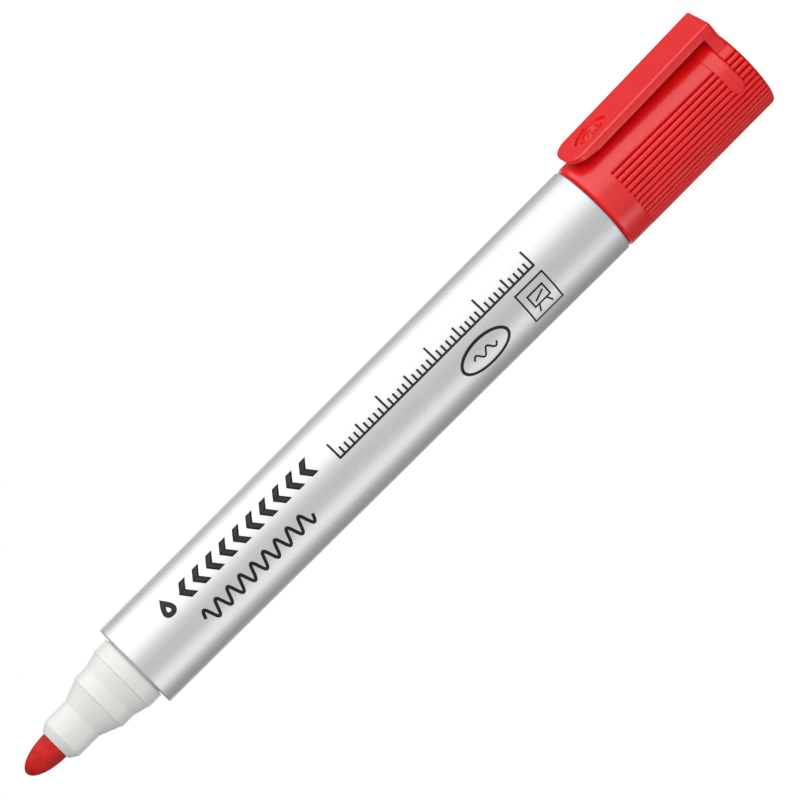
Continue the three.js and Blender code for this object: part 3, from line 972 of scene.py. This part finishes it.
def cap_shell():
    """The cup as rows of points, from the middle of the closed end up its outside, over the lip and
    down the bore. The rows are close together where the band, the grooves and the ribs end."""
    steps = round(360 / GROOVE_PITCH) * STEPS_A_PITCH
    angles = (np.arange(steps) * 360 / steps + 180) % 360 - 180
    edge = CAP_END_RADIUS - END_ROUND
    outline = [(r, 0.0) for r in (2.0, 4.0, 5.6)]
    outline += quarter(edge, END_ROUND, END_ROUND, -90, 0, 9)
    fine = list(np.arange(BAND["low"] - 0.25, BAND["high"] + 0.26, 0.125))
    heights = [1.6, 2.1, *fine, 6.5, 9, 12, 15, 18, 21, 24, *np.arange(25.8, 26.55, 0.1), 28, 29.4]
    outline += [(math.inf, z) for z in heights]
    lip = cap_high.x - LIP_ROUND
    outline += quarter(lip, cap_high.z - LIP_ROUND, LIP_ROUND, 0, 90, 7)
    rows = [(outer_row(r, z, angles), z) for r, z in outline]
    mouth = quarter(CAP_BORE + MOUTH_ROUND, cap_high.z - MOUTH_ROUND, MOUTH_ROUND, 90, 180, 4)
    rows += [(np.full(steps, r), z) for r, z in mouth]
    for z in (30.3, 29.9, 29.5, 29.2, 26, 23, 21, 20.6, 20.2, 19.8, 19.4, 12, 4):
        rows.append((bore_row(z, angles), z))
    floor_arc = quarter(CAP_BORE - FLOOR_ROUND, END_WALL + FLOOR_ROUND, FLOOR_ROUND, 0, -90, 5)
    rows += [(np.full(steps, r), z) for r, z in floor_arc]

    points = [(0, 0, 0)]
    for radii, z in rows:
        points += [around(a, r, z) / MM for a, r in zip(angles, radii)]
    points.append((0, 0, END_WALL))
    faces = [[0, 1 + k, 1 + (k + 1) % steps] for k in range(steps)]
    for row in range(len(rows) - 1):
        low, high = 1 + row * steps, 1 + (row + 1) * steps
        faces += [[low + (k + 1) % steps, low + k, high + k, high + (k + 1) % steps] for k in range(steps)]
    last, top = 1 + (len(rows) - 1) * steps, len(points) - 1
    faces += [[last + (k + 1) % steps, last + k, top] for k in range(steps)]
    return mesh_object("cap_with_clip", points, faces)


# The clip's own sizes: R is a distance from the marker's axis.
CLIP_HALF = 3.5
CLIP_THICK = 1.6
CLIP_TIP_THICK = 0.55
CLIP_ROOT_R = 10.66
CLIP_TIP_R = 9.82
CLIP_ROOT_TOP = 2.5
CLIP_FILLET = 0.5
CLIP_FLARE = {"wide": 0.85, "top_r": 8.93, "drop": 2.6}
CLIP_RAMP = 25.0
CLIP_CORNER = 2.6
CLIP_EDGE = 0.28
CLIP_UNDER_BEVEL = 0.6
CLIP_CELLS = {"under": 14, "side": 13, "edge": 5, "top": 80}
CLIP_INSIDE_R = 6.9
THUMB = {"middle": 23.75, "half_long": 3.1, "half_wide": 1.75, "dish": 0.28, "deep": 0.4, "half_line": 0.2}
THUMB_RINGS = (0.38, 0.8)  # each as a share of the recess's size


def clip_outer(z):
    """The flat outer face's distance from the axis: it leans in a little towards the tip."""
    share = (z - clip_low.z) / (clip_high.z - clip_low.z)
    return CLIP_ROOT_R + (CLIP_TIP_R - CLIP_ROOT_R) * share


def clip_under(z):
    """The underside's distance from the axis: a fillet at the root, then an arm of even thickness
    that thins out to the tip."""
    rise = np.clip((z - CLIP_RAMP) / (clip_high.z - CLIP_RAMP), 0, 1)
    thick = CLIP_THICK - (CLIP_THICK - CLIP_TIP_THICK) * rise ** 1.3
    if z < CLIP_ROOT_TOP + CLIP_FILLET:
        drop = math.sqrt(max(0.0, CLIP_FILLET ** 2 - (CLIP_ROOT_TOP + CLIP_FILLET - z) ** 2))
        return clip_outer(z) - thick - CLIP_FILLET + drop
    return clip_outer(z) - thick


def end_inset(distance):
    """How far the outline draws in near an end, so that the end's edges are round."""
    return CLIP_EDGE - math.sqrt(max(0.0, CLIP_EDGE ** 2 - (CLIP_EDGE - min(distance, CLIP_EDGE)) ** 2))


def thumb_recess(x, z):
    """Depth of the oval recess: a shallow dish with two rings sunk in it."""
    reach = math.hypot(x / THUMB["half_wide"], (z - THUMB["middle"]) / THUMB["half_long"])
    off = min(abs(reach - ring) for ring in THUMB_RINGS)
    line = 1 - ease(0.3 * THUMB["half_line"], THUMB["half_line"], off)
    dish = 1 - ease(0.95, 1.02, reach)
    return float(THUMB["dish"] * dish + THUMB["deep"] * line)


def clip_section(z, root):
    """One closed outline across the clip as (x, distance from the axis), from the underside round."""
    inset = end_inset(min(z - clip_low.z, clip_high.z - z))
    half = CLIP_HALF
    into_tip = z - (clip_high.z - CLIP_CORNER)
    if into_tip > 0:
        half = CLIP_HALF - CLIP_CORNER + math.sqrt(max(0.0, CLIP_CORNER ** 2 - into_tip ** 2))
    half -= inset
    pinch = min(inset, 0.3 * (clip_outer(z) - clip_under(z)))
    outer = clip_outer(z) - pinch
    under = CLIP_INSIDE_R if root else clip_under(z) + pinch
    edge = min(CLIP_EDGE, 0.45 * (outer - under))

    def flared(v):
        """Half the width at a distance from the axis: the root spreads where it meets the wall."""
        down = min(1.0, max(0.0, CLIP_FLARE["top_r"] - v) / CLIP_FLARE["drop"])
        return half + (CLIP_FLARE["wide"] * down ** 2 if root else 0.0)

    foot = flared(0.0)
    low = math.sqrt(under ** 2 - foot ** 2) if root else under + CLIP_UNDER_BEVEL * edge
    reach = foot if root else half - CLIP_UNDER_BEVEL * edge
    section = []
    for k in range(CLIP_CELLS["under"] + 1):
        x = reach * (2 * k / CLIP_CELLS["under"] - 1)
        section.append((x, math.sqrt(under ** 2 - x * x) if root else under))
    up_side = np.linspace(low, outer - edge, CLIP_CELLS["side"] + 1)
    section += [(flared(v), v) for v in up_side[(1 if root else 0):]]
    arc = [math.radians(90 * k / CLIP_CELLS["edge"]) for k in range(1, CLIP_CELLS["edge"] + 1)]
    section += [(half - edge + edge * math.cos(a), outer - edge + edge * math.sin(a)) for a in arc]
    for k in range(1, CLIP_CELLS["top"]):
        x = (half - edge) * (1 - 2 * k / CLIP_CELLS["top"])
        section.append((x, outer - thumb_recess(x, z)))
    section += [(-half + edge - edge * math.cos(a), outer - edge + edge * math.sin(a)) for a in arc[::-1]]
    down_side = np.linspace(outer - edge, low, CLIP_CELLS["side"] + 1)
    section += [(-flared(v), v) for v in down_side[:(-1 if root else None)]]
    return section


def clip_arm():
    """The clip as a loft of its outlines, close together at both ends and along the thumb recess."""
    low, high = clip_low.z, clip_high.z
    ends = [0.0, 0.03, 0.08, 0.16, 0.28]
    stations = [(low + d, True) for d in ends] + [(z, True) for z in (1.0, 1.6, 2.2, CLIP_ROOT_TOP - 0.01)]
    stations += [(CLIP_ROOT_TOP + d, False) for d in (0.01, 0.04, 0.1, 0.2, 0.34, 0.5)]
    stations += [(z, False) for z in np.arange(3.5, 20.1, 1.5)]
    stations += [(z, False) for z in np.arange(20.4, 27.11, 0.1)]
    stations += [(high - CLIP_CORNER * math.cos(math.radians(a)), False) for a in range(22, 83, 6)]
    stations += [(high - d, False) for d in ends[::-1]]
    sections = [clip_section(z, root) for z, root in stations]
    count = len(sections[0])
    points = [(x, -v, z) for (z, _), section in zip(stations, sections) for x, v in section]
    faces = []
    for row in range(len(sections) - 1):
        a, b = row * count, (row + 1) * count
        faces += [[a + k, a + (k + 1) % count, b + (k + 1) % count, b + k] for k in range(count)]
    faces.append([k for k in range(count)][::-1])
    faces.append([(len(sections) - 1) * count + k for k in range(count)])
    return mesh_object("clip_arm", points, faces)


clip_low, clip_high = (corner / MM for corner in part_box("clip"))
cap_and_clip = cap_shell()
arm_piece = clip_arm()
union = cap_and_clip.modifiers.new("one_moulding", "BOOLEAN")
union.operation = "UNION"
union.solver = "MANIFOLD"
union.object = arm_piece
seen = bpy.context.evaluated_depsgraph_get()
fused = bpy.data.meshes.new_from_object(cap_and_clip.evaluated_get(seen))
cap_and_clip.modifiers.clear()
cap_and_clip.data = fused
fused.shade_smooth()
bpy.data.objects.remove(arm_piece)
sharpened(cap_and_clip, 34)
fused.materials.clear()
cap_and_clip.data.materials.append(moulded_red("moulded_red_cap", "#F0181B", "#E81318", 0.3))
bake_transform(cap_and_clip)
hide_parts("cap", "clip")
